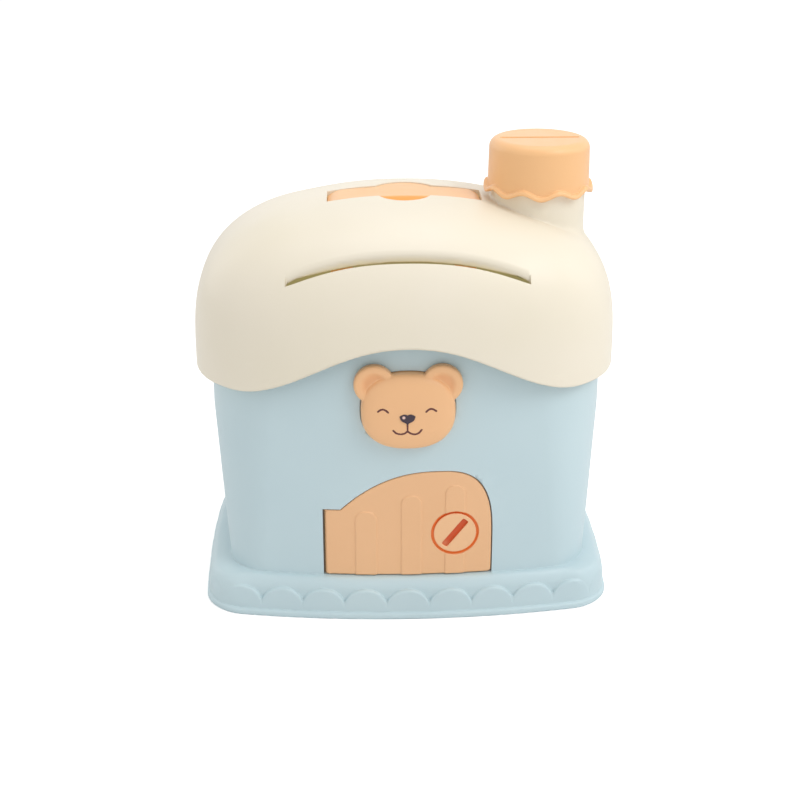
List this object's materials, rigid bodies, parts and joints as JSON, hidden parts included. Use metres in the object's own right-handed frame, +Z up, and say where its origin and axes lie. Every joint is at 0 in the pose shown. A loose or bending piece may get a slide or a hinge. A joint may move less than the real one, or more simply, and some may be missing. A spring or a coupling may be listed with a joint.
{
  "type": "house-shaped coin bank",
  "caption": "House-shaped toy savings bank with a lifting carry handle in the roof, card and coin slots, a locking coin door and a bear head.",
  "frame": {"origin": "middle of the footprint, at the ground", "axes": "+X to the right as seen from the front, the front faces -Y, +Z up"},
  "size_m": [0.21, 0.1432, 0.229],
  "materials": {
    "blue_plastic": "satin moulded, pale blue",
    "cream_plastic": "satin moulded, cream",
    "peach_plastic": "satin moulded, light orange",
    "door_plastic": "satin moulded, tan orange",
    "bear_plastic": "satin moulded, light orange",
    "steel": "zinc-plated screw steel"
  },
  "bodies": {
    "house": {"house_body": "blue_plastic", "base_plate": "blue_plastic", "base_screws": "steel", "roof_shell": "cream_plastic", "roof_screws": "steel", "chimney_cap": "peach_plastic", "cap_screws": "steel", "handle_well": "cream_plastic", "well_screws": "steel", "door_hinge_pin": "steel", "bear_head": "bear_plastic", "bear_backing_plate": "blue_plastic", "bear_screws": "steel"},
    "door": {"door": "door_plastic"},
    "lock": {"lock_knob": "door_plastic", "lock_cam": "door_plastic", "lock_screw": "steel"},
    "handle": {"carry_handle": "peach_plastic", "handle_stops": "peach_plastic", "stop_screws": "steel"}
  },
  "joints": [
    {"name": "door_hinge", "type": "hinge", "parent": "house", "child": "door", "pos_m": [-0.0387, -0.05572, 0.039], "axis": [0, 0, -1], "range_deg": [0, 100]},
    {"name": "lock_turn", "type": "hinge", "parent": "door", "child": "lock", "pos_m": [0.0235, -0.05931, 0.0438], "axis": [-0.0587, 0.9983, 0], "range_deg": [0, 90]},
    {"name": "handle_lift", "type": "slide", "parent": "house", "child": "handle", "axis": [0, 0, 1], "range_m": [0, 0.022]}
  ]
}
